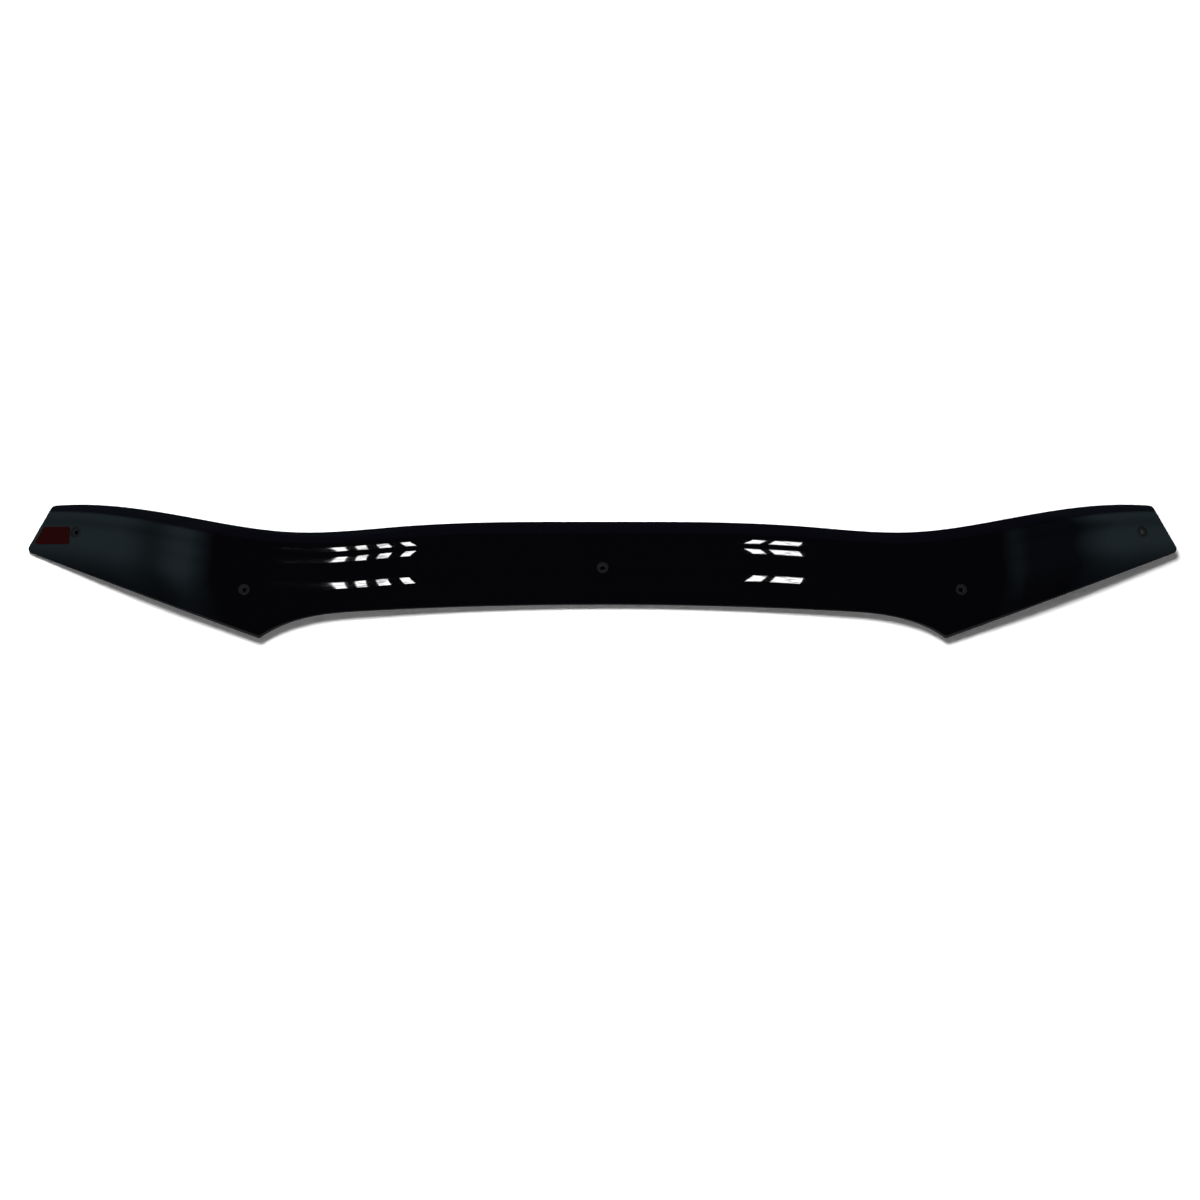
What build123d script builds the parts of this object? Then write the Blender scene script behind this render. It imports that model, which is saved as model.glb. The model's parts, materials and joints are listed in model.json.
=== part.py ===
from build123d import *
import os

# Hood bug deflector: one sheet of smoked acrylic, heat formed to an ogee section,
# swept back at both ends and cut to a winged outline, with five fixing holes and
# a plain red label. Millimetres. +X runs across the vehicle, +Y backwards and +Z
# up, and the origin is in the centre fixing hole, half way along its wall.

# Sheet
sheet_thickness = 3.0
edge_break = 0.7

# Upper edge seen from the front: the step outwards from the last point, then how
# far the sheet has swept back and how high the edge is there
crest_height = 56.7
quarter_step, quarter_sweep, quarter_height = 248.0, 11.8, 51.2
dip_step, dip_sweep, dip_height = 134.0, 28.0, 44.3
rise_step, rise_sweep, rise_height = 133.0, 56.0, 63.3
wing_step, wing_sweep, wing_height = 135.0, 107.5, 80.3
tip_step, tip_top_height = 46.0, 79.2
tip_slant, tip_low_height = 32.5, 21.5
end_sweep_slope = 0.44
tip_top_round = 7.0
tip_low_round = 6.0

# Lower edge seen from the front: a shallow arch, a cove and a downward point
middle_drop = 46.1
cove_reach, cove_drop = 309.0, 54.8
point_step, point_drop = 115.0, 88.0
point_entry_slope = 0.75
point_round = 5.0

# Section of the formed sheet at the middle: the step down to each line from the one
# before, and how far it stands behind the line of the holes, where the brow starts
edge_setback = 20.9
roll_step, roll_setback = 10.0, 14.8
lip_step, lip_setback = 10.0, 11.1
hollow_step, hollow_setback = 17.0, 6.7
brow_step, brow_setback = 19.3, -5.6
nose_step, nose_setback = 18.0, -8.2
skirt_step, skirt_setback = 24.0, -9.0
tip_section_share = 0.66

# Fixing holes with spot-faced seats: the inner pair stand equally far out, and
# the tip holes stand in from the slanted ends, the left one beside the label
hole_radius = 3.25
seat_radius = 7.0
seat_depth = 0.9
seat_break = 0.3
inner_hole_reach, inner_hole_height = 444.0, -27.0
right_tip_hole_inset, right_tip_hole_height = 33.5, 46.5
left_tip_hole_inset, left_tip_hole_height = 51.5, 45.5

# Plain red label at the left end, between the slanted end and the left tip hole
label_thickness = 0.4
label_glue = 0.1
label_height = 22.0
label_middle_height = 41.5
label_round = 2.5
label_edge_margin = 5.0
label_seat_gap = 1.0

# Waste of the formed blank outside the cut outline, the slope at which it runs on
# over the rolled upper edge, and the loft's stations
blank_waste = 50.0
blank_roll_waste = 10.5
blank_roll_slope = 0.85
stations_per_side = 12

quarter_reach = quarter_step
dip_reach = quarter_reach + dip_step
rise_reach = dip_reach + rise_step
wing_reach = rise_reach + wing_step
tip_top_reach = wing_reach + tip_step
tip_low_reach = tip_top_reach + tip_slant
blank_reach = tip_low_reach + blank_waste
point_reach = cove_reach + point_step
lip_depth = roll_step + lip_step
hollow_depth = lip_depth + hollow_step
brow_depth = crest_height + brow_step
nose_depth = brow_depth + nose_step
skirt_depth = nose_depth + skirt_step
blank_sweep = wing_sweep + end_sweep_slope * (blank_reach - wing_reach)
blank_depth = crest_height + point_drop + blank_waste / 2
cutter_depth = 2 * (blank_sweep + blank_depth)


def section_share(reach):
    """Size of the section at a distance from the middle, as a share of the middle one."""
    along = min(max((reach - rise_reach) / (blank_reach - rise_reach), 0.0), 1.0)
    return 1.0 - (1.0 - tip_section_share) * along


def section_points(share):
    """Points of the ogee, as (setback from the upper edge, height over it)."""
    shape = [
        (edge_setback + blank_roll_slope * blank_roll_waste, blank_roll_waste),
        (edge_setback, 0.0),
        (roll_setback, -roll_step),
        (lip_setback, -lip_depth),
        (hollow_setback, -hollow_depth),
        (0.0, -crest_height),
        (brow_setback, -brow_depth),
        (nose_setback, -nose_depth),
        (skirt_setback, -skirt_depth),
        (skirt_setback, -blank_depth),
    ]
    return [((back - edge_setback) * share, rise * share) for back, rise in shape]


def section_wire(place, share, front, back):
    """Closed section between two offsets from the ogee, forward and backward."""
    points = section_points(share)
    ogee = Spline(*points)
    knots = [ogee.param_at_point(point) for point in points]
    inward = [(ogee % knot).rotate(Axis.Z, 90) for knot in knots]
    ahead = Spline(*[ogee @ knot - normal * front for knot, normal in zip(knots, inward)])
    behind = Spline(*[ogee @ knot + normal * back for knot, normal in zip(knots, inward)])
    ends = [Line(ahead @ 0, behind @ 0), Line(ahead @ 1, behind @ 1)]
    return Wire([place * edge for edge in [ahead, behind] + ends])


def formed_blank(front, back):
    """The formed sheet before it is cut to its outline, between two offsets."""
    rail = Spline(
        (0, 0, crest_height),
        (quarter_reach, quarter_sweep, quarter_height),
        (dip_reach, dip_sweep, dip_height),
        (rise_reach, rise_sweep, rise_height),
        (wing_reach, wing_sweep, wing_height),
        (blank_reach, blank_sweep, tip_top_height),
        tangents=((1, 0, 0), (1, end_sweep_slope, 0)),
    )
    half = []
    for step in range(stations_per_side + 1):
        point = rail @ (step / stations_per_side)
        heading = rail % (step / stations_per_side)
        along = Vector(heading.X, heading.Y, 0).normalized()
        backward = along.rotate(Axis.Z, 90)
        place = Plane(origin=point + Vector(0, edge_setback, 0), x_dir=backward, z_dir=along)
        half.append(section_wire(place.location, section_share(point.X), front, back))
    mirrored = [wire.mirror(Plane.YZ) for wire in reversed(half[1:])]
    return Solid.make_loft(mirrored + half)


def front_outline():
    """Winged outline of the cut sheet, drawn as seen from the front."""
    upper_half = [
        (quarter_reach, quarter_height),
        (dip_reach, dip_height),
        (rise_reach, rise_height),
        (wing_reach, wing_height),
        (tip_top_reach, tip_top_height),
    ]
    mirrored = [(-reach, height) for reach, height in reversed(upper_half)]
    upper = Spline(mirrored + [(0, crest_height)] + upper_half)
    arch = ThreePointArc((-cove_reach, -cove_drop), (0, -middle_drop), (cove_reach, -cove_drop))
    edges = [upper, arch]
    for side in (-1, 1):
        tip_top = (side * tip_top_reach, tip_top_height)
        tip_low = (side * tip_low_reach, tip_low_height)
        point = (side * point_reach, -point_drop)
        leaving = (arch % 1) if side > 0 else (arch % 0) * -1
        cove = Spline(
            (side * cove_reach, -cove_drop),
            point,
            tangents=(leaving, (side, -point_entry_slope)),
        )
        edges += [Line(tip_top, tip_low), Line(tip_low, point), cove]
    outline = make_face(edges)
    for reach, height, radius in (
        (tip_top_reach, tip_top_height, tip_top_round),
        (tip_low_reach, tip_low_height, tip_low_round),
        (point_reach, -point_drop, point_round),
    ):
        for side in (-1, 1):
            corner = outline.vertices().sort_by_distance((side * reach, height, 0))[0]
            outline = fillet(corner, radius)
    return Plane.XZ.location * outline


def tip_edge_reach(height):
    """How far out the slanted end of the sheet is at a height."""
    return tip_low_reach - tip_slant * (height - tip_low_height) / (tip_top_height - tip_low_height)


def cutter(outline):
    """A block of a front outline, deep enough to pass through the whole sweep."""
    return extrude(outline, amount=cutter_depth, both=True)


def face_point(sheet, reach, height):
    """Where a line from the front meets the sheet, and the sheet's outward normal there."""
    sight = Axis((reach, -cutter_depth, height), (0, 1, 0))
    return sheet.find_intersection_points(sight)[0]


def seat_and_hole(point, normal):
    """Cutter for one fixing hole and its spot-faced seat, square to the sheet."""
    clear = sheet_thickness + 2 * seat_depth
    drill = Cylinder(hole_radius, 2 * clear)
    lip = seat_depth - seat_break
    spot = Polyline(
        (0, 0),
        (seat_radius, 0),
        (seat_radius, lip),
        (seat_radius + clear, lip + clear),
        (0, lip + clear),
        close=True,
    )
    seat = revolve(Plane.XZ.location * make_face(spot), Axis.Z)
    seat_floor = point - normal * seat_depth
    return Plane(origin=seat_floor, z_dir=normal).location * (drill + seat)


def label_outline():
    """Label seen from the front: slanted like the end of the sheet, square beside the hole."""
    low = label_middle_height - label_height / 2
    high = label_middle_height + label_height / 2
    inner = tip_edge_reach(left_tip_hole_height) - left_tip_hole_inset + seat_radius + label_seat_gap
    corners = [
        (-inner, low),
        (-inner, high),
        (-(tip_edge_reach(high) - label_edge_margin), high),
        (-(tip_edge_reach(low) - label_edge_margin), low),
    ]
    face = make_face(Polyline(*corners, close=True))
    return Plane.XZ.location * fillet(face.vertices(), label_round)


def hole_places():
    """Each fixing hole's distance from the middle and height, by name."""
    left_tip = tip_edge_reach(left_tip_hole_height) - left_tip_hole_inset
    right_tip = tip_edge_reach(right_tip_hole_height) - right_tip_hole_inset
    return {
        "centre_hole": (0.0, 0.0),
        "left_inner_hole": (-inner_hole_reach, inner_hole_height),
        "right_inner_hole": (inner_hole_reach, inner_hole_height),
        "left_tip_hole": (-left_tip, left_tip_hole_height),
        "right_tip_hole": (right_tip, right_tip_hole_height),
    }


def make_shield(blank):
    """The formed sheet cut to its outline, its edges broken, drilled and spot-faced."""
    cut = blank & cutter(front_outline())
    formed_faces = cut.faces().sort_by(SortBy.AREA)[-2:]
    rims = formed_faces[0].edges() + formed_faces[1].edges()
    shield = chamfer(rims, min(edge_break, sheet_thickness / 4))
    for reach, height in hole_places().values():
        shield -= seat_and_hole(*face_point(blank, reach, height))
    return shield


def make_label():
    """Thin label that follows the front of the sheet, a glue line away from it."""
    film = formed_blank(label_glue + label_thickness, -label_glue)
    return film & cutter(label_outline())


def wall_middle(point, normal):
    """The point half way along a hole's wall, behind its seat."""
    return point - normal * (seat_depth + sheet_thickness) / 2


blank = formed_blank(0.0, sheet_thickness)
shield = make_shield(blank)
label = make_label()

to_origin = Pos(-wall_middle(*face_point(blank, 0.0, 0.0)))
os.makedirs("parts", exist_ok=True)
for name, solid in {"shield": shield, "label": label}.items():
    export_step(to_origin * solid, f"parts/{name}.step")

for name, (reach, height) in hole_places().items():
    point, normal = face_point(blank, reach, height)
    middle = (to_origin * Pos(wall_middle(point, normal))).position
    print(name, "middle", [round(v, 4) for v in middle], "axis", [round(v, 6) for v in normal])
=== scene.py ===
import bmesh
import bpy
import json
import math
import numpy as np
from mathutils import Matrix, Vector


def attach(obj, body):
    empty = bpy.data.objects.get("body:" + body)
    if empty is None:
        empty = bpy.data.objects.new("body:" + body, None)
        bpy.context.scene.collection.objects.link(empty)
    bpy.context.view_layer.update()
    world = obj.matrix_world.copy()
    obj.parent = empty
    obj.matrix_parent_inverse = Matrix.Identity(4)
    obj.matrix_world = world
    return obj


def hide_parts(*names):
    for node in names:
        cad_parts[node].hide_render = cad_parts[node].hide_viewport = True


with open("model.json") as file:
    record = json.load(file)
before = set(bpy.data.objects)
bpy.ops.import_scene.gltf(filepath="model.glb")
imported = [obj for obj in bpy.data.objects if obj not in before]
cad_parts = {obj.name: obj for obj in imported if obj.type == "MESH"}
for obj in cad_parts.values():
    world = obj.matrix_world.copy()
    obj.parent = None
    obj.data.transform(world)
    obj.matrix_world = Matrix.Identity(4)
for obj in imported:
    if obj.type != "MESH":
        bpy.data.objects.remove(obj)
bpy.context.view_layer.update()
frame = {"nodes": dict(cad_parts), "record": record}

MM = 0.001

# The formed sheet, in millimetres. Upper edge: distance from the middle, sweep back, height
upper_edge = [
    (0.0, 0.0, 56.7), (248.0, 11.8, 51.2), (382.0, 28.0, 44.3), (515.0, 56.0, 63.3), (650.0, 107.5, 80.3),
]
blank_end = (778.5, 164.04, 79.2)
end_sweep_slope = 0.44
# Ogee section at the middle: depth below the upper edge, setback behind the holes
ogee = [
    (-10.5, 29.825), (0.0, 20.9), (10.0, 14.8), (20.0, 11.1), (24.0, 9.95), (32.0, 8.08),
    (37.0, 6.7), (56.7, 0.0), (76.0, -5.6), (94.0, -8.2), (118.0, -9.0), (169.7, -9.0),
]
edge_setback = 20.9
tip_section_share = 0.66
taper_start, taper_end = 515.0, 778.5
sheet_thickness = 3.0
edge_round = 0.8
back_edge_break = 0.6
# Drilled holes with spot-faced seats: the seat's radius, its floor in front of the middle of
# the hole's wall, its straight wall, and how far the cutter reaches beyond
seat_radius = 7.0
seat_floor = 1.05
seat_wall = 0.6
cutter_flare = 4.0
drill_reach = 6.0
# The cut outline seen from the front
tip_top, tip_top_round = (696.0, 79.2), 7.0
tip_low, tip_low_round = (728.5, 21.5), 6.0
point, point_round = (424.0, -88.0), 5.0
cove_start = (309.0, -54.8)
middle_low = -46.1
point_entry_slope = -0.75
# From the drawing's centre line to the middle of the centre hole's wall
hole_shift = (0.0, -1.8417, 0.6407)
# Fineness of the sheet: places across it, as start, end and step, and rows up and down it
column_runs = [
    (0.0, 400.0, 4.0), (400.0, 414.0, 2.0), (414.0, 434.0, 0.8), (436.0, 684.0, 4.0), (684.0, 716.0, 1.0),
]
tip_columns_start, tip_columns = 716.0, 26
front_rows, back_rows, edge_rows = 45, 30, 4
# Faces that turn further from the front than this cosine have the sawn finish, and edges
# sharper than this angle in degrees stay sharp
cut_face_cosine = 0.6
crease_angle = 32


# Points in the table of a drawn line
line_points = 6001


def drawn_line(points, first=None, last=None):
    """Table of a smooth line through points, with set or free directions at its ends."""
    points = np.array(points, float)
    gaps = np.linalg.norm(np.diff(points, axis=0), axis=1)
    run = np.concatenate([[0.0], np.cumsum(gaps)])
    rises = np.diff(points, axis=0) / gaps[:, None]
    count = len(points)
    system, wanted = np.zeros((count, count)), np.zeros(points.shape)
    for i in range(1, count - 1):
        system[i, i - 1:i + 2] = gaps[i], 2 * (gaps[i - 1] + gaps[i]), gaps[i - 1]
        wanted[i] = 3 * (gaps[i] * rises[i - 1] + gaps[i - 1] * rises[i])
    for row, direction, near in ((0, first, slice(0, 4)), (-1, last, slice(-4, None))):
        order = min(3, count - 1)
        fit = [np.polyfit(run[near] - run[row], points[near, k], order)[-2] for k in range(points.shape[1])]
        if direction is not None:
            fit = np.array(direction) * np.linalg.norm(fit) / np.linalg.norm(direction)
        system[row, row] = 1
        wanted[row] = fit
    slopes = np.linalg.solve(system, wanted)
    at = np.linspace(0.0, run[-1], line_points)
    i = np.clip(np.searchsorted(run, at) - 1, 0, count - 2)
    h = gaps[i][:, None]
    t = (at - run[i])[:, None] / h
    return ((1 + 2 * t) * (1 - t) ** 2 * points[i] + t * (1 - t) ** 2 * h * slopes[i]
            + t * t * (3 - 2 * t) * points[i + 1] + t * t * (t - 1) * h * slopes[i + 1])


def read_off(table, column):
    """Value in one column of a drawn line at a place in its first column."""
    return lambda at: np.interp(at, table[:, 0], table[:, column])


# Rounds in which the station of the section that holds a point is found
approach_rounds = 8

rail = drawn_line(upper_edge + [blank_end], (1, 0, 0), (1, end_sweep_slope, 0))
sweep, rim = read_off(rail, 1), read_off(rail, 2)
setback = read_off(drawn_line(ogee), 1)


def section_share(reach):
    """Size of the section at a distance from the middle, as a share of the middle one."""
    along = np.clip((reach - taper_start) / (taper_end - taper_start), 0.0, 1.0)
    return 1.0 - (1.0 - tip_section_share) * along


def front_depth(across, height):
    """How far back the front of the sheet is, at a distance across and a height."""
    across, height = np.abs(np.asarray(across, float)), np.asarray(height, float)
    reach = across
    for _ in range(approach_rounds):
        turn = np.arctan(sweep(reach + 0.5) - sweep(reach - 0.5))
        share = section_share(reach)
        behind = (setback((rim(reach) - height) / share) - edge_setback) * share
        reach = np.maximum(across + np.sin(turn) * behind, 0.0)
    return sweep(reach) + edge_setback + np.cos(turn) * behind


def front_normal(across, height):
    """Outward normal of the front of the sheet."""
    aside = 0.2
    lean_x = (front_depth(across + aside, height) - front_depth(across - aside, height)) / (2 * aside)
    lean_z = (front_depth(across, height + aside) - front_depth(across, height - aside)) / (2 * aside)
    normal = np.stack([lean_x, -np.ones_like(lean_x), lean_z], -1)
    return normal / np.linalg.norm(normal, axis=-1, keepdims=True)


def rounded_corner(corner, before, after, radius):
    """Circle that rounds a corner between two directions: its middle and where it starts and ends."""
    corner, before, after = np.array(corner), np.array(before, float), np.array(after, float)
    before, after = before / np.linalg.norm(before), after / np.linalg.norm(after)
    half = math.acos(np.clip(before @ after, -1, 1)) / 2
    inward = (before + after) / np.linalg.norm(before + after)
    run = radius / math.tan(half)
    return corner + inward * radius / math.sin(half), corner + before * run, corner + after * run


right_half = [(reach, height) for reach, _, height in upper_edge[1:]] + [tip_top]
left_half = [(-reach, height) for reach, height in reversed(right_half)]
top_line = read_off(drawn_line(left_half + [(0.0, upper_edge[0][2])] + right_half), 1)
arch_radius = (cove_start[0] ** 2 + (cove_start[1] - middle_low) ** 2) / (2 * (middle_low - cove_start[1]))
arch_slope = -cove_start[0] / math.sqrt(arch_radius ** 2 - cove_start[0] ** 2)
cove = read_off(drawn_line([cove_start, point], (1, arch_slope), (1, point_entry_slope)), 1)
end_slope = (tip_low[1] - tip_top[1]) / (tip_low[0] - tip_top[0])
wing_slope = (tip_low[1] - point[1]) / (tip_low[0] - point[0])
rim_slope = float(top_line(tip_top[0]) - top_line(tip_top[0] - 1))
top_corner = rounded_corner(tip_top, (-1, -rim_slope), (1, end_slope), tip_top_round)
low_corner = rounded_corner(tip_low, (-1, -end_slope), (-1, -wing_slope), tip_low_round)
point_corner = rounded_corner(point, (-1, -point_entry_slope), (1, wing_slope), point_round)
widest = low_corner[0][0] + tip_low_round


def with_corner(line, across, middle, radius, begin, stop, side):
    """Outline with the circle of a rounded corner between two distances across."""
    arc = middle[1] + side * np.sqrt(np.maximum(radius ** 2 - (across - middle[0]) ** 2, 0.0))
    return np.where((across > begin) & (across <= stop), arc, line)


def outline_high(across):
    """Height of the upper outline, the slanted end and its rounded corners."""
    across = np.abs(np.asarray(across, float))
    high = np.where(across < tip_top[0], top_line(np.minimum(across, tip_top[0])), 0.0)
    slanted = tip_top[1] + end_slope * (across - tip_top[0])
    high = np.where(across > tip_top[0], slanted, high)
    middle, start, end = top_corner
    high = with_corner(high, across, middle, tip_top_round, start[0], end[0], 1)
    middle, start, _ = low_corner
    return with_corner(high, across, middle, tip_low_round, start[0], widest, 1)


def outline_low(across):
    """Height of the lower outline: arch, cove, rounded point, wing and rounded corner."""
    across = np.abs(np.asarray(across, float))
    low = middle_low - (arch_radius - np.sqrt(arch_radius ** 2 - np.minimum(across, cove_start[0]) ** 2))
    low = np.where(across > cove_start[0], cove(across), low)
    low = np.where(across > point[0], point[1] + wing_slope * (across - point[0]), low)
    middle, start, end = point_corner
    low = with_corner(low, across, middle, point_round, start[0], end[0], -1)
    middle, _, end = low_corner
    return with_corner(low, across, middle, tip_low_round, end[0], widest, -1)


# Meshes

merge_distance = 1e-7


def object_from(bm, name, materials, smooth=True):
    """Finished piece from a bmesh, at the origin."""
    mesh = bpy.data.meshes.new(name)
    bm.to_mesh(mesh)
    bm.free()
    for material in materials:
        mesh.materials.append(material)
    for face in mesh.polygons:
        face.use_smooth = smooth
    piece = bpy.data.objects.new(name, mesh)
    bpy.context.scene.collection.objects.link(piece)
    return piece


def ring_body(rings):
    """Closed skin over rings of points, with a cap at each end."""
    spans, count = len(rings) - 1, rings.shape[1]
    bm = bmesh.new()
    bmesh.ops.create_grid(bm, x_segments=spans, y_segments=count, size=1.0)
    for vertex in bm.verts:
        column = round((vertex.co.x + 1) / 2 * spans)
        row = round((vertex.co.y + 1) / 2 * count) % count
        vertex.co = Vector(rings[column, row]) * MM
    bmesh.ops.remove_doubles(bm, verts=bm.verts, dist=merge_distance)
    bmesh.ops.holes_fill(bm, edges=[edge for edge in bm.edges if edge.is_boundary], sides=0)
    bmesh.ops.recalc_face_normals(bm, faces=bm.faces)
    return bm


def sheet_columns():
    """Places across the sheet, closer together round the points and the tips."""
    runs = [np.arange(start, end, step) for start, end, step in column_runs]
    turn = np.linspace(0.0, 1.0, tip_columns) * math.pi / 2
    runs.append(tip_columns_start + (widest - 0.01 - tip_columns_start) * np.sin(turn))
    half = np.unique(np.round(np.concatenate(runs), 4))
    return np.concatenate([-half[:0:-1], half])


def edge_steps(radius, steps):
    """Rounding of an edge: how far in from the edge and how far back from the face."""
    turn = np.linspace(0.0, math.pi / 2, steps + 1)
    return [(radius * (1 - math.sin(a)), radius * (1 - math.cos(a))) for a in turn]


def sheet_rings(columns):
    """Points of one ring at each column: down the front, round the edge, up the back."""
    high, low = outline_high(columns), outline_low(columns)
    aside, steepest, deepest_share = 0.05, 3.0, 0.42

    def steepness(outline):
        before, after = np.abs(columns) - aside, np.minimum(np.abs(columns) + aside, widest)
        slope = (outline(after) - outline(before)) / (2 * aside)
        return np.sqrt(1 + np.clip(slope, -steepest, steepest) ** 2)

    steep_high, steep_low = steepness(outline_high), steepness(outline_low)
    rings = []

    def add(height, back, pull):
        front = front_depth(columns, height)
        lean = -front_normal(columns, height)[:, 1]
        through = sheet_thickness / lean
        depth = front + through - pull if back else front + pull
        rings.append(np.stack([columns, depth, height], -1) + np.array(hole_shift))

    def in_from(edge, distance):
        steep, sign, start = (steep_high, -1, high) if edge == "high" else (steep_low, 1, low)
        return start + sign * np.minimum(distance * steep, deepest_share * (high - low))

    front_edge = edge_steps(edge_round, edge_rows)
    top, bottom = in_from("high", edge_round), in_from("low", edge_round)
    for share in np.linspace(0.0, 1.0, front_rows):
        add(top + (bottom - top) * share, False, 0.0)
    for distance, pull in front_edge[1:]:
        add(in_from("low", distance), False, pull)
    add(in_from("low", 0.0), True, back_edge_break)
    top, bottom = in_from("high", back_edge_break), in_from("low", back_edge_break)
    for share in np.linspace(0.0, 1.0, back_rows):
        add(bottom + (top - bottom) * share, True, 0.0)
    add(in_from("high", 0.0), True, back_edge_break)
    for distance, pull in reversed(front_edge[1:]):
        add(in_from("high", distance), False, pull)
    return np.stack(rings, 1)


# Materials

acrylic_ior = 1.49


def plain_material(name, colour, roughness):
    """Principled material with its constants on the shader, and the tree to add detail to."""
    material = bpy.data.materials.new(name)
    material.use_nodes = True
    shader = material.node_tree.nodes["Principled BSDF"]
    shader.inputs["Base Color"].default_value = (*colour, 1)
    shader.inputs["Roughness"].default_value = roughness
    shader.inputs["IOR"].default_value = acrylic_ior
    return material, material.node_tree, shader


def noise(tree, scale, detail, stretch=None):
    """Noise on the object's own coordinates, in metres, stretched if asked."""
    place = tree.nodes.new("ShaderNodeTexCoord")
    texture = tree.nodes.new("ShaderNodeTexNoise")
    texture.inputs["Scale"].default_value = scale
    texture.inputs["Detail"].default_value = detail
    source = place.outputs["Object"]
    if stretch:
        mapping = tree.nodes.new("ShaderNodeMapping")
        mapping.inputs["Scale"].default_value = stretch
        tree.links.new(source, mapping.inputs["Vector"])
        source = mapping.outputs["Vector"]
    tree.links.new(source, texture.inputs["Vector"])
    return texture.outputs["Fac"]


def between(tree, source, low, high, start=0.3, end=0.7):
    """Map a value from one range onto another."""
    node = tree.nodes.new("ShaderNodeMapRange")
    node.inputs["From Min"].default_value = start
    node.inputs["From Max"].default_value = end
    node.inputs["To Min"].default_value = low
    node.inputs["To Max"].default_value = high
    tree.links.new(source, node.inputs["Value"])
    return node.outputs["Result"]


def bump(tree, shader, source, distance, strength):
    """Fine relief of a surface from a texture."""
    node = tree.nodes.new("ShaderNodeBump")
    node.inputs["Distance"].default_value = distance
    node.inputs["Strength"].default_value = strength
    tree.links.new(source, node.inputs["Height"])
    tree.links.new(node.outputs["Normal"], shader.inputs["Normal"])


def smoked_acrylic():
    material, tree, shader = plain_material("smoked_acrylic", (0.0012, 0.0012, 0.0016), 0.012)
    tree.links.new(between(tree, noise(tree, 7.0, 3.0), 0.006, 0.02), shader.inputs["Roughness"])
    bump(tree, shader, noise(tree, 9.0, 1.0), 0.0002, 0.2)
    return material


def sawn_edge():
    material, tree, shader = plain_material("sawn_edge", (0.012, 0.013, 0.014), 0.3)
    tree.links.new(between(tree, noise(tree, 60.0, 4.0), 0.22, 0.4), shader.inputs["Roughness"])
    bump(tree, shader, noise(tree, 900.0, 2.0, stretch=(1.0, 0.15, 1.0)), 0.00005, 0.4)
    return material


def frosted_seat():
    material, tree, shader = plain_material("frosted_seat", (0.005, 0.0052, 0.0055), 0.5)
    shader.inputs["Specular IOR Level"].default_value = 0.25
    tree.links.new(between(tree, noise(tree, 400.0, 3.0), 0.4, 0.65), shader.inputs["Roughness"])
    bump(tree, shader, noise(tree, 2500.0, 3.0), 0.00004, 0.6)
    return material


def red_film():
    material, tree, shader = plain_material("red_film", (0.0155, 0.0009, 0.0007), 0.35)
    shader.inputs["Specular IOR Level"].default_value = 0.07
    tree.links.new(between(tree, noise(tree, 80.0, 3.0), 0.3, 0.42), shader.inputs["Roughness"])
    bump(tree, shader, noise(tree, 1500.0, 2.0), 0.00002, 0.4)
    return material


acrylic, edge_finish, seat_finish, label_finish = smoked_acrylic(), sawn_edge(), frosted_seat(), red_film()

# The sheet
polished_slot, sawn_slot = 0, 1
spin_steps = 64
sheet_body = ring_body(sheet_rings(sheet_columns()))
sheet = object_from(sheet_body, "formed_sheet", [acrylic, edge_finish, seat_finish])


def seat_cutter(hole_pos, hole_axis, radius):
    """Drill and spot-facing tool for one hole, set square to the sheet."""
    bm = bmesh.new()
    wall_top = seat_floor + seat_wall
    profile = [
        (0, -drill_reach), (radius, -drill_reach), (radius, seat_floor), (seat_radius, seat_floor),
        (seat_radius, wall_top), (seat_radius + cutter_flare, wall_top + cutter_flare),
        (0, wall_top + cutter_flare),
    ]
    verts = [bm.verts.new((out * MM, 0, along * MM)) for out, along in profile]
    edges = [bm.edges.new(pair) for pair in zip(verts, verts[1:])]
    bmesh.ops.spin(
        bm, geom=verts + edges, cent=(0, 0, 0), axis=(0, 0, 1),
        angle=math.tau, steps=spin_steps, use_merge=True,
    )
    bmesh.ops.remove_doubles(bm, verts=bm.verts, dist=merge_distance)
    bmesh.ops.recalc_face_normals(bm, faces=bm.faces)
    turn = Vector(hole_axis).to_track_quat("Z", "Y").to_matrix().to_4x4()
    bmesh.ops.transform(bm, matrix=Matrix.Translation(hole_pos) @ turn, verts=bm.verts)
    return object_from(bm, "seat_cutter", [seat_finish], smooth=False)


def apply_modifiers(piece):
    """Keep what the modifiers made and drop them."""
    bpy.context.view_layer.update()
    result = bpy.data.meshes.new_from_object(piece.evaluated_get(bpy.context.evaluated_depsgraph_get()))
    piece.modifiers.clear()
    piece.data = result


for mount in frame["record"]["mounts"]:
    tool = seat_cutter(mount["pos_m"], mount["axis"], mount["dims"]["r_mm"])
    cut = sheet.modifiers.new("drill", "BOOLEAN")
    cut.operation, cut.solver, cut.object = "DIFFERENCE", "EXACT", tool
    cut.material_mode = "TRANSFER"
    apply_modifiers(sheet)
    bpy.data.objects.remove(tool)
sheet.data.name = "formed_sheet"

bm = bmesh.new()
bm.from_mesh(sheet.data)
for edge in bm.edges:
    edge.smooth = not (edge.is_manifold and edge.calc_face_angle(0.0) > math.radians(crease_angle))
polished = [face for face in bm.faces if face.material_index == polished_slot]
middles = np.array([face.calc_center_median() for face in polished]) / MM - np.array(hole_shift)
for face, outward in zip(polished, front_normal(middles[:, 0], middles[:, 2])):
    if abs(face.normal.dot(Vector(outward))) < cut_face_cosine:
        face.material_index = sawn_slot
for face in bm.faces:
    face.smooth = True
bm.to_mesh(sheet.data)
bm.free()

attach(sheet, "root")
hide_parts("shield")

label = frame["nodes"]["label"]
label.data.materials.clear()
label.data.materials.append(label_finish)

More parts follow.
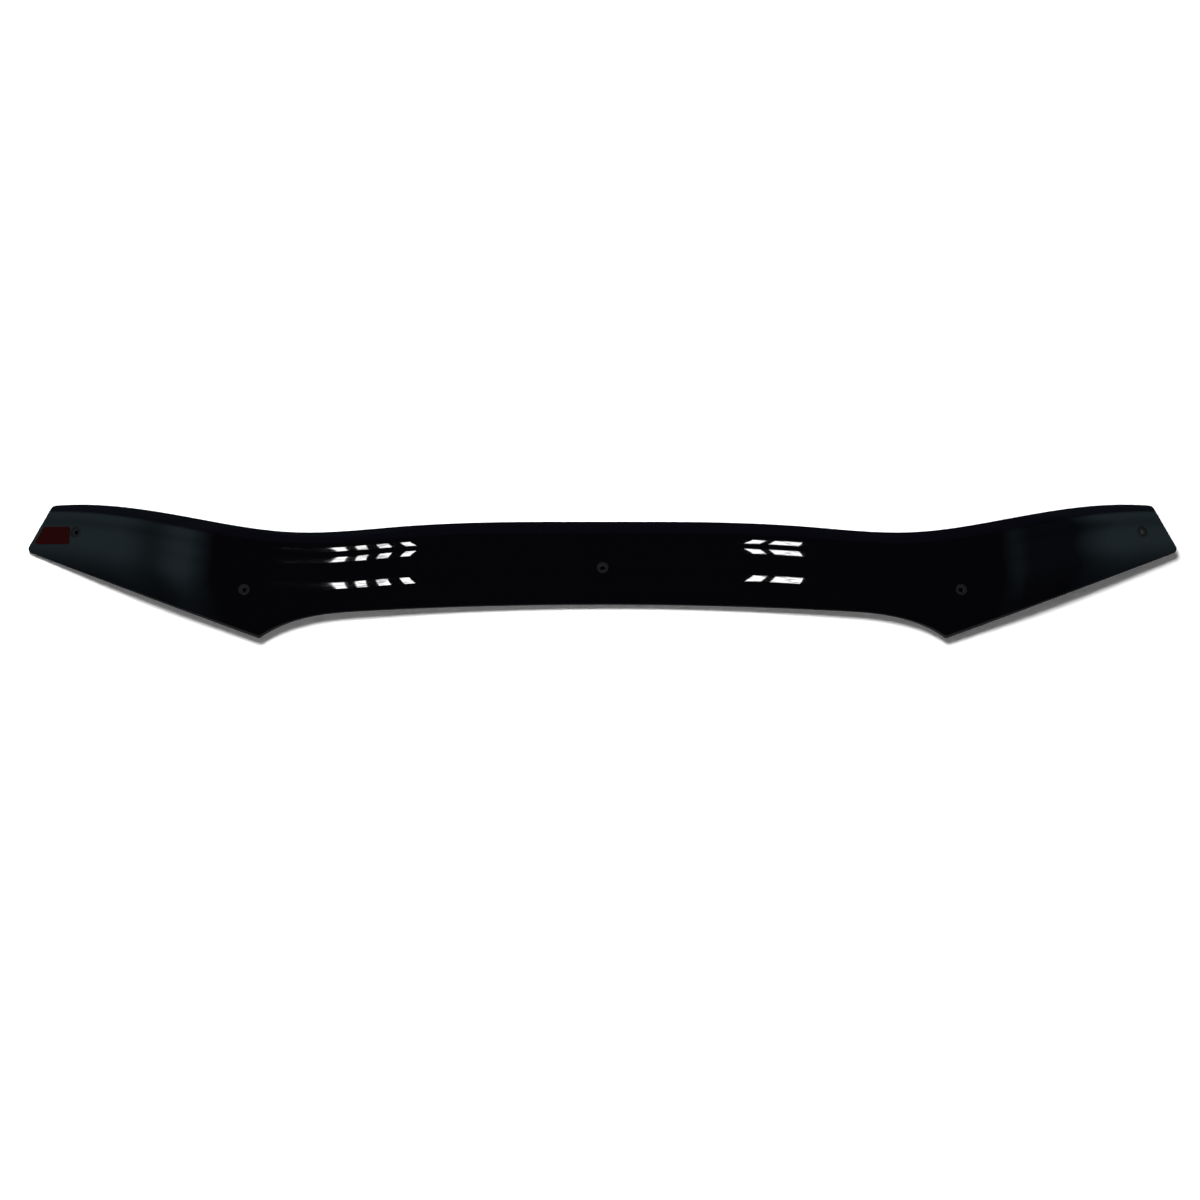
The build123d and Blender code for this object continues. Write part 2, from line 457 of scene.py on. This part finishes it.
# Stage: a pale floor far below, pale paper curved close behind the sheet, one studio lamp
stage_grey = 0.35
paper_seen, floor_seen = 1.35, 0.6
floor_glow_to_camera, floor_glow_in_gloss = 0.62, 0.25
floor_size = 24.0
# Painted shade: behind each hole the paper is coloured dark for the camera where the sheet covers it, so the
# holes look dark. Its grey there, how far in metres and with how many samples the cover is found, and the
# ranges over which it turns pale, of openness and of the distance in metres from the line of sight through
# the hole
painted_shade_grey = 0.01
cover_reach, cover_samples = 0.25, 12
cover_range = (0.24, 0.42)
painted_shade_range = (0.010, 0.012)
# The sight lines through the holes spread by this much before they meet the paper
sight_spread = 1.008


def grey(level):
    return level, level, level, 1


def grey_mix(tree, factor, first, second):
    """Mix of two greys by a socket."""
    mix = tree.nodes.new("ShaderNodeMix")
    mix.data_type = "RGBA"
    mix.inputs[6].default_value = grey(first)
    mix.inputs[7].default_value = grey(second)
    tree.links.new(factor, mix.inputs[0])
    return mix


def stage_material(name, seen):
    """Pale paint that shows white to the camera and keeps the shadow."""
    material = bpy.data.materials.new(name)
    material.use_nodes = True
    tree = material.node_tree
    shader = tree.nodes["Principled BSDF"]
    shader.inputs["Roughness"].default_value = 1.0
    shader.inputs["Specular IOR Level"].default_value = 0.0
    path = tree.nodes.new("ShaderNodeLightPath")
    mix = grey_mix(tree, path.outputs["Is Camera Ray"], stage_grey, seen)
    tree.links.new(mix.outputs[2], shader.inputs["Base Color"])
    return material, tree, shader, mix


def hole_distance(tree):
    """Distance on the paper from the nearest point that shows through a hole, up to 1 m, which places the
    painted shade.
    """
    place, nearest = tree.nodes.new("ShaderNodeTexCoord"), None
    for mount in frame["record"]["mounts"]:
        across, _, height = mount["pos_m"]
        apart, least = tree.nodes.new("ShaderNodeVectorMath"), tree.nodes.new("ShaderNodeMath")
        apart.operation, least.operation = "DISTANCE", "MINIMUM"
        depth = paper_depth(across / MM, height / MM) * MM
        apart.inputs[1].default_value = across * sight_spread, depth, height
        tree.links.new(place.outputs["Object"], apart.inputs[0])
        least.inputs[1].default_value = 1.0
        tree.links.new(apart.outputs["Value"], least.inputs[0])
        if nearest is not None:
            tree.links.new(nearest, least.inputs[1])
        nearest = least.outputs["Value"]
    return nearest


def paper_material():
    """Paper with painted shade for the camera where the sheet covers it behind the holes, and open from
    behind.
    """
    material, tree, shader, mix = stage_material("pale_paper_painted_shade", paper_seen)
    # Painted shade: where ambient occlusion finds the paper covered and a hole's sight line is near, the
    # camera's colour of the paper turns dark
    cover = tree.nodes.new("ShaderNodeAmbientOcclusion")
    cover.samples = cover_samples
    cover.inputs["Distance"].default_value = cover_reach
    pale = tree.nodes.new("ShaderNodeMath")
    pale.operation = "MAXIMUM"
    tree.links.new(between(tree, cover.outputs["AO"], 0.0, 1.0, *cover_range), pale.inputs[0])
    tree.links.new(between(tree, hole_distance(tree), 0.0, 1.0, *painted_shade_range), pale.inputs[1])
    shade = grey_mix(tree, pale.outputs["Value"], painted_shade_grey, paper_seen)
    tree.links.new(shade.outputs[2], mix.inputs[7])
    side = tree.nodes.new("ShaderNodeNewGeometry")
    clear = tree.nodes.new("ShaderNodeBsdfTransparent")
    either = tree.nodes.new("ShaderNodeMixShader")
    tree.links.new(side.outputs["Backfacing"], either.inputs[0])
    tree.links.new(shader.outputs["BSDF"], either.inputs[1])
    tree.links.new(clear.outputs["BSDF"], either.inputs[2])
    tree.links.new(either.outputs["Shader"], tree.nodes["Material Output"].inputs["Surface"])
    return material


# The paper's gap behind the sheet from the left end to the right one, its lean and its size
paper_gap = read_off(drawn_line([(-760.0, 1.5), (-424.0, 27.0), (0.0, 9.0), (424.0, 24.0), (760.0, 26.0)]), 1)
paper_lean = 0.2
paper_foot, paper_top, paper_half_width = -900.0, 5000.0, 3000.0
# It follows the sheet as far as here and then runs on straight
sheet_reach, paper_bend_reach = 720.0, 840.0
paper_clearance = 1.2 * sheet_thickness


def rear_line(across):
    """How far back the paper must stand at the height of the holes to clear the sheet."""
    inside = np.clip(np.abs(across), 0.0, sheet_reach)
    low, high = outline_low(inside), outline_high(inside)
    heights = low + (high - low) * np.linspace(0.0, 1.0, 25)[:, None]
    rear = (front_depth(inside, heights) + paper_clearance - paper_lean * heights).max(0)
    return rear + end_sweep_slope * (np.abs(across) - inside) + hole_shift[1]


paper_knots = np.linspace(-paper_bend_reach, paper_bend_reach, 15)
paper_line = read_off(drawn_line(list(zip(paper_knots, rear_line(paper_knots) + paper_gap(paper_knots)))), 1)


def paper_depth(across, height):
    """How far back the paper is at a distance across and a height."""
    inside = min(max(across, -paper_bend_reach), paper_bend_reach)
    return float(paper_line(inside)) + end_sweep_slope * abs(across - inside) + paper_lean * height


def paper_sweep():
    """Curved paper close behind the sheet, from the floor to well over it."""
    bm = bmesh.new()
    bmesh.ops.create_grid(bm, x_segments=240, y_segments=2, size=1.0)
    for vertex in bm.verts:
        across = paper_half_width * vertex.co.x
        height = paper_foot + (paper_top - paper_foot) * (vertex.co.y + 1) / 2
        vertex.co = Vector((across, paper_depth(across, height), height)) * MM
    paper = object_from(bm, "paper_sweep", [paper_material()])
    paper.visible_glossy = False


def pale_floor():
    """Floor at the foot of the paper, paler to the camera and in reflections."""
    bm = bmesh.new()
    bmesh.ops.create_grid(bm, x_segments=1, y_segments=1, size=floor_size / 2)
    bmesh.ops.translate(bm, vec=(0, 0, paper_foot * MM), verts=bm.verts)
    material, tree, shader, _ = stage_material("pale_paint", floor_seen)
    path, shown = tree.nodes.new("ShaderNodeLightPath"), tree.nodes.new("ShaderNodeMath")
    shown.operation = "ADD"
    for socket, ray, level in zip(
            shown.inputs, ("Is Camera Ray", "Is Glossy Ray"), (floor_glow_to_camera, floor_glow_in_gloss)):
        tree.links.new(between(tree, path.outputs[ray], 0.0, level, 0.0, 1.0), socket)
    shader.inputs["Emission Color"].default_value = grey(1)
    tree.links.new(shown.outputs["Value"], shader.inputs["Emission Strength"])
    object_from(bm, "floor", [material], smooth=False)


paper_sweep()
pale_floor()

# Round studio lamp, above the camera and to its left, aimed at the origin
light = bpy.data.lights.new("key", "AREA")
light.shape, light.size, light.energy = "DISK", 1.1, 230
lamp = bpy.data.objects.new("key", light)
lamp.location = (-0.45, -4.45, 1.3)
lamp.rotation_euler = (-lamp.location).to_track_quat("-Z", "Y").to_euler()
lamp.visible_glossy = False
bpy.context.scene.collection.objects.link(lamp)

# Panes of light far away, like windows: their distance in metres, the elevations of their tops and
# feet and the strengths of their light, and for each the azimuths of its top and of its foot
pane_distance = 40.0
pane_top, pane_foot = 34.0, 28.3
pane_glow = (10.0, 36.0)
left_panes_from, right_panes_from = (-0.29, 0.02, 0.0), (0.2, 0.01, 0.0)
left_panes = [
    ((-22.72, -22.22), (-21.28, -20.78)), ((-21.7, -21.05), (-20.2, -19.55)),
    ((-20.25, -19.22), (-18.65, -17.62)), ((-17.98, -16.98), (-16.32, -15.32)),
]
right_panes = [((12.9, 14.3), (11.4, 12.8)), ((15.2, 18.0), (13.7, 16.5))]


def glow(name, faint, strong):
    """White light of uneven strength that only polished surfaces show."""
    material = bpy.data.materials.new(name)
    material.use_nodes = True
    tree = material.node_tree
    tree.nodes.clear()
    light, output = tree.nodes.new("ShaderNodeEmission"), tree.nodes.new("ShaderNodeOutputMaterial")
    tree.links.new(between(tree, noise(tree, 1.6, 1.0), faint, strong, 0.35, 0.6), light.inputs["Strength"])
    tree.links.new(light.outputs["Emission"], output.inputs["Surface"])
    return material


def heading(azimuth, elevation):
    """Direction from the object, turned from straight ahead of it, in degrees."""
    azimuth, elevation = math.radians(azimuth), math.radians(elevation)
    level = math.cos(elevation)
    return Vector((math.sin(azimuth) * level, -math.cos(azimuth) * level, math.sin(elevation)))


def softbox(name, middle, top, foot, material):
    """Leaning pane of light far away, between two azimuths at its top and two at its foot."""
    bm = bmesh.new()
    bmesh.ops.create_grid(bm, x_segments=1, y_segments=1, size=1.0)
    for vertex in bm.verts:
        side = 0 if vertex.co.x < 0 else 1
        place = heading(top[side], pane_top) if vertex.co.y > 0 else heading(foot[side], pane_foot)
        vertex.co = Vector(middle) + place * pane_distance
    pane = object_from(bm, name, [material], smooth=False)
    pane.visible_camera = pane.visible_diffuse = pane.visible_shadow = False
    pane.visible_transmission = pane.visible_volume_scatter = False


pane_light = glow("pane_light", *pane_glow)
for side, middle, panes in (("left", left_panes_from, left_panes), ("right", right_panes_from, right_panes)):
    for number, (top, foot) in enumerate(panes):
        softbox(f"{side}_pane_{number}", middle, top, foot, pane_light)

# World: white for the camera, a low fill, and for gloss a dark room with pale sides and a grey
# rear. Each range holds the azimuths or elevations, in degrees, over which a part comes or goes
dark_low, dark_high = (0.006, 0.006, 0.012), (0.03, 0.03, 0.07)
pale_side, pale_rear = (0.24, 0.37, 0.42), (0.42, 0.45, 0.48)
fill, white = (0.035, 0.035, 0.035), (1.0, 1.0, 1.0)
left_pale_range, right_pale_range, rear_range = (30.0, 36.0), (50.0, 57.0), (85.0, 110.0)
left_dip_azimuth = 46.0
streak_rise, streak_fall, streak_share = (32.0, 35.0), (37.0, 40.0), 0.3
pale_rise, pale_fall, dark_rise, rear_fall = (4.0, 31.0), (36.0, 42.0), (38.0, 46.0), (50.0, 60.0)

world = bpy.data.worlds.new("studio")
bpy.context.scene.world = world
world.use_nodes = True
tree = world.node_tree
tree.nodes.clear()
background = tree.nodes.new("ShaderNodeBackground")
output = tree.nodes.new("ShaderNodeOutputWorld")
path = tree.nodes.new("ShaderNodeLightPath")
place = tree.nodes.new("ShaderNodeTexCoord")
split = tree.nodes.new("ShaderNodeSeparateXYZ")
tree.links.new(place.outputs["Generated"], split.inputs["Vector"])


def reckon(kind, first, second=0.0):
    """One sum on the world's directions."""
    node = tree.nodes.new("ShaderNodeMath")
    node.operation = kind
    for socket, value in zip(node.inputs, (first, second)):
        if isinstance(value, (int, float)):
            socket.default_value = value
        else:
            tree.links.new(value, socket)
    return node.outputs["Value"]


def turning(angle, low, high, angles):
    """Value that changes between two angles in degrees."""
    start, end = angles
    return between(tree, angle, low, high, math.radians(start), math.radians(end))


def blend(factor, first, second):
    """Mix of two colours, or of sockets that hold them."""
    node = tree.nodes.new("ShaderNodeMix")
    node.data_type = "RGBA"
    for socket, value in ((node.inputs[0], factor), (node.inputs[6], first), (node.inputs[7], second)):
        if isinstance(value, tuple):
            socket.default_value = (*value, 1)
        else:
            tree.links.new(value, socket)
    return node.outputs[2]


to_right = reckon("ARCTAN2", split.outputs["X"], reckon("MULTIPLY", split.outputs["Y"], -1.0))
to_left = reckon("MULTIPLY", to_right, -1.0)
upward = reckon("ARCSINE", split.outputs["Z"])
left_pale = turning(to_left, 0.0, 1.0, left_pale_range)
from_dip = reckon("ABSOLUTE", reckon("SUBTRACT", to_left, math.radians(left_dip_azimuth)))
left_dip = turning(from_dip, 0.5, 1.0, (1.0, 6.0))
right_near = turning(to_right, 0.0, streak_share, streak_rise)
right_far = turning(to_right, 1.0, streak_share, streak_fall)
right_streak = reckon("MULTIPLY", right_near, right_far)
right_pale = reckon("MAXIMUM", right_streak, turning(to_right, 0.0, 1.0, right_pale_range))
sides = reckon("MAXIMUM", reckon("MULTIPLY", left_pale, left_dip), right_pale)
rising, sinking = turning(upward, 0.2, 1.0, pale_rise), turning(upward, 1.0, 0.12, pale_fall)
paling = reckon("MULTIPLY", sides, reckon("MULTIPLY", rising, sinking))
dark_room = blend(turning(upward, 0.0, 1.0, dark_rise), dark_low, dark_high)
front_room = blend(paling, dark_room, pale_side)
behind = turning(reckon("ABSOLUTE", to_right), 0.0, 1.0, rear_range)
not_overhead = turning(upward, 1.0, 0.2, rear_fall)
room = blend(reckon("MULTIPLY", behind, not_overhead), front_room, pale_rear)
gloss = blend(path.outputs["Is Glossy Ray"], fill, room)
seen = blend(path.outputs["Is Camera Ray"], gloss, white)
tree.links.new(seen, background.inputs["Color"])
tree.links.new(background.outputs["Background"], output.inputs["Surface"])

# Camera straight in front, level, a little below the holes
camera = bpy.data.cameras.new("camera")
camera.sensor_width = 36
camera.lens = 121.95
view = bpy.data.objects.new("camera", camera)
view.location = (-0.0032, -5.0, -0.0394)
view.rotation_euler = (math.pi / 2, 0, 0)
bpy.context.scene.collection.objects.link(view)
bpy.context.scene.camera = view
bpy.context.scene.view_settings.view_transform = "Standard"
